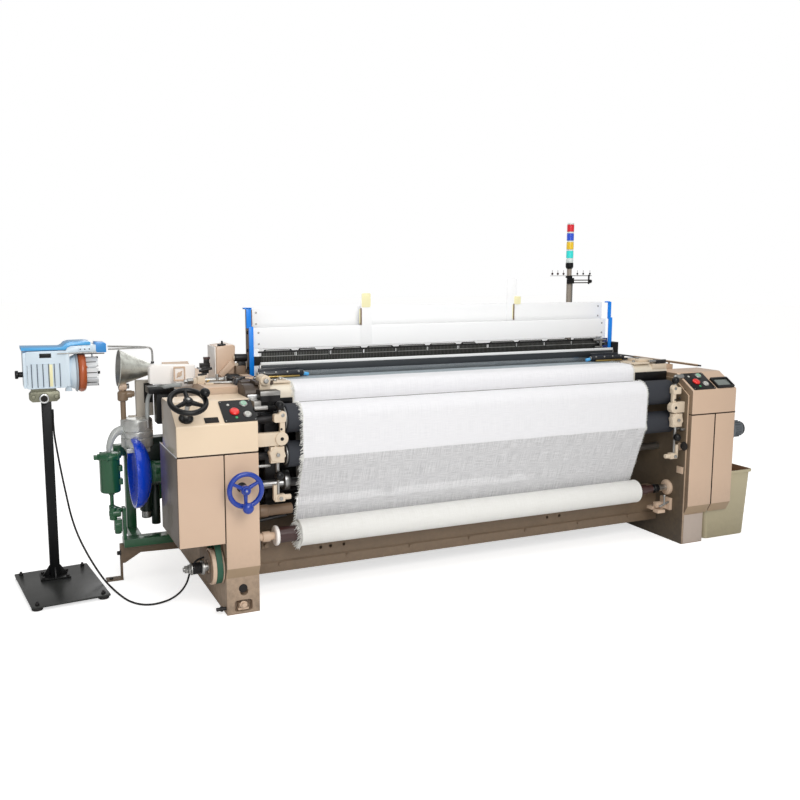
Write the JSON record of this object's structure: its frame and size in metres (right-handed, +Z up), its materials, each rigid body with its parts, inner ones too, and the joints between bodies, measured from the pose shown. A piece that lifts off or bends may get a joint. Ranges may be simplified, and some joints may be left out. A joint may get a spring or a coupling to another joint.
{
  "type": "power loom",
  "caption": "Water-jet power loom with cloth on its take-up rollers, heald frames, sley, pump, control panels, signal tower, waste bin and a weft feeder on a floor stand.",
  "frame": {"origin": "centre of the footprint at floor level, measured without the feeder cable", "axes": "+X along the loom to the weaver's right, +Y from the weaver to the rear, +Z up"},
  "size_m": [4.2367, 1.7409, 1.956],
  "materials": {
    "tan_paint": "satin",
    "brown_paint": "satin",
    "black_paint": "semi-gloss",
    "black_plastic": "gloss",
    "woven_cloth": "matte",
    "blue_paint": "gloss",
    "green_paint": "gloss",
    "bright_steel": "brushed",
    "grey_hose": "matte",
    "motor_grey": "satin",
    "belt_rubber": "matte",
    "feeder_housing": "gloss",
    "feeder_blue": "gloss",
    "feeder_orange": "gloss",
    "lamp_lenses": "gloss",
    "bin_plastic": "matte",
    "roller_grey": "matte",
    "dark_iron": "cast",
    "white_aluminium": "satin",
    "red_button": "gloss",
    "green_button": "gloss",
    "white_button": "gloss"
  },
  "bodies": {
    "frame": {"left_side_frame": "tan_paint", "right_side_frame": "tan_paint", "front_girder": "brown_paint", "rear_girder": "brown_paint", "breast_beam": "tan_paint", "left_front_cover": "tan_paint", "left_leg_cover": "tan_paint", "left_panel_cap": "tan_paint", "right_leg_cover": "tan_paint", "right_outer_cover": "tan_paint", "right_panel_cap": "tan_paint", "control_plates": "black_paint", "display_unit": "black_plastic", "take_up_brackets": "tan_paint", "cloth_sheet": "woven_cloth", "warp_sheet": "woven_cloth", "temples": "black_paint", "heald_guides": "blue_paint", "pump_stand": "green_paint", "pump_bracket": "brown_paint", "pump_body": "bright_steel", "water_tank": "green_paint", "pump_hoses": "grey_hose", "drive_motor": "motor_grey", "drive_belts": "belt_rubber", "feeder_stand": "black_paint", "feeder_body": "feeder_housing", "feeder_lid": "feeder_blue", "feeder_drum": "bright_steel", "yarn_guide_rods": "bright_steel", "yarn_cone": "bright_steel", "signal_post": "tan_paint", "signal_lamps": "lamp_lenses", "waste_bin": "bin_plastic", "feeder_cable": "black_plastic", "nozzle_unit": "tan_paint"},
    "take_up_roller": {"take_up_roller": "roller_grey"},
    "guide_roller": {"guide_roller": "roller_grey"},
    "take_up_handwheel": {"take_up_handwheel": "blue_paint"},
    "top_handwheel": {"top_handwheel": "black_paint"},
    "top_handwheel_knob": {"top_handwheel_knob": "black_plastic"},
    "cloth_roller": {"cloth_roller": "brown_paint", "wound_cloth": "woven_cloth"},
    "sley": {"sley": "dark_iron", "reed": "bright_steel"},
    "front_heald_frame": {"front_heald_frame": "white_aluminium"},
    "rear_heald_frame": {"rear_heald_frame": "white_aluminium"},
    "warp_beam": {"warp_beam": "white_aluminium"},
    "back_rest_roller": {"back_rest_roller": "bright_steel"},
    "crank_shaft": {"crank_shaft": "bright_steel"},
    "motor_pulley": {"motor_pulley": "bright_steel"},
    "let_off_pulley": {"let_off_pulley": "tan_paint"},
    "pump_flywheel": {"pump_flywheel": "blue_paint"},
    "feeder_ring": {"feeder_ring": "feeder_orange"},
    "left_stop_button": {"left_stop_button": "red_button"},
    "left_start_button": {"left_start_button": "green_button"},
    "left_inch_button": {"left_inch_button": "white_button"},
    "right_stop_button": {"right_stop_button": "red_button"},
    "right_start_button": {"right_start_button": "green_button"},
    "right_inch_button": {"right_inch_button": "white_button"}
  },
  "joints": [
    {"name": "take_up_roller_turn", "type": "hinge", "parent": "frame", "child": "take_up_roller", "pos_m": [0.25333, -0.59451, 0.912], "axis": [1, 0, 0], "continuous": true},
    {"name": "guide_roller_turn", "type": "hinge", "parent": "frame", "child": "guide_roller", "pos_m": [0.25333, -0.59951, 0.733], "axis": [1, 0, 0], "continuous": true},
    {"name": "take_up_handwheel_turn", "type": "hinge", "parent": "frame", "child": "take_up_handwheel", "pos_m": [-1.13767, -0.82451, 0.628], "axis": [0, 1, 0], "continuous": true},
    {"name": "top_handwheel_turn", "type": "hinge", "parent": "frame", "child": "top_handwheel", "pos_m": [-1.37967, -0.77298, 1.04852], "axis": [0, -0.5316, 0.847], "continuous": true},
    {"name": "top_handwheel_knob_turn", "type": "hinge", "parent": "top_handwheel", "child": "top_handwheel_knob", "pos_m": [-1.30143, -0.75522, 1.05966], "axis": [0, -0.5316, 0.847], "continuous": true},
    {"name": "cloth_roller_turn", "type": "hinge", "parent": "frame", "child": "cloth_roller", "pos_m": [0.25333, -0.58951, 0.322], "axis": [1, 0, 0], "continuous": true},
    {"name": "sley_swing", "type": "hinge", "parent": "frame", "child": "sley", "pos_m": [0.25333, -0.16951, 0.42], "axis": [1, 0, 0], "range_deg": [-4, 2.5]},
    {"name": "front_heald_lift", "type": "slide", "parent": "frame", "child": "front_heald_frame", "axis": [0, 0, 1], "range_m": [0, 0.104]},
    {"name": "rear_heald_lift", "type": "slide", "parent": "frame", "child": "rear_heald_frame", "axis": [0, 0, 1], "range_m": [-0.104, 0]},
    {"name": "warp_beam_turn", "type": "hinge", "parent": "frame", "child": "warp_beam", "pos_m": [0.25333, 0.54049, 0.47], "axis": [1, 0, 0], "continuous": true},
    {"name": "back_rest_turn", "type": "hinge", "parent": "frame", "child": "back_rest_roller", "pos_m": [0.25333, 0.69049, 0.985], "axis": [1, 0, 0], "continuous": true},
    {"name": "crank_shaft_turn", "type": "hinge", "parent": "frame", "child": "crank_shaft", "pos_m": [0.25333, -0.47951, 0.56], "axis": [1, 0, 0], "continuous": true},
    {"name": "motor_pulley_turn", "type": "hinge", "parent": "frame", "child": "motor_pulley", "pos_m": [1.75333, -0.65451, 0.662], "axis": [1, 0, 0], "continuous": true},
    {"name": "let_off_pulley_turn", "type": "hinge", "parent": "frame", "child": "let_off_pulley", "pos_m": [-1.24667, -0.63951, 0.225], "axis": [1, 0, 0], "continuous": true},
    {"name": "pump_flywheel_turn", "type": "hinge", "parent": "frame", "child": "pump_flywheel", "pos_m": [-1.52667, -0.02951, 0.574], "axis": [1, 0, 0], "continuous": true},
    {"name": "feeder_ring_turn", "type": "hinge", "parent": "frame", "child": "feeder_ring", "pos_m": [-1.76367, 0.12049, 1.106], "axis": [1, 0, 0], "continuous": true},
    {"name": "left_stop_button_push", "type": "slide", "parent": "frame", "child": "left_stop_button", "axis": [0, 0.5316, -0.847], "range_m": [0, 0.005], "stiffness_N_per_m": 400},
    {"name": "left_start_button_push", "type": "slide", "parent": "frame", "child": "left_start_button", "axis": [0, 0.5316, -0.847], "range_m": [0, 0.005], "stiffness_N_per_m": 400},
    {"name": "left_inch_button_push", "type": "slide", "parent": "frame", "child": "left_inch_button", "axis": [0, 0.5316, -0.847], "range_m": [0, 0.005], "stiffness_N_per_m": 400},
    {"name": "right_stop_button_push", "type": "slide", "parent": "frame", "child": "right_stop_button", "axis": [0, 0.5316, -0.847], "range_m": [0, 0.005], "stiffness_N_per_m": 400},
    {"name": "right_start_button_push", "type": "slide", "parent": "frame", "child": "right_start_button", "axis": [0, 0.5316, -0.847], "range_m": [0, 0.005], "stiffness_N_per_m": 400},
    {"name": "right_inch_button_push", "type": "slide", "parent": "frame", "child": "right_inch_button", "axis": [0, 0.5316, -0.847], "range_m": [0, 0.005], "stiffness_N_per_m": 400}
  ],
  "couplings": [
    {"joint": "guide_roller_turn", "follows": "take_up_roller_turn", "ratio": 1.1077},
    {"joint": "take_up_handwheel_turn", "follows": "take_up_roller_turn", "ratio": 12},
    {"joint": "rear_heald_lift", "follows": "front_heald_lift", "ratio": -1},
    {"joint": "motor_pulley_turn", "follows": "crank_shaft_turn", "ratio": 2.4762},
    {"joint": "let_off_pulley_turn", "follows": "crank_shaft_turn", "ratio": 0.725}
  ]
}
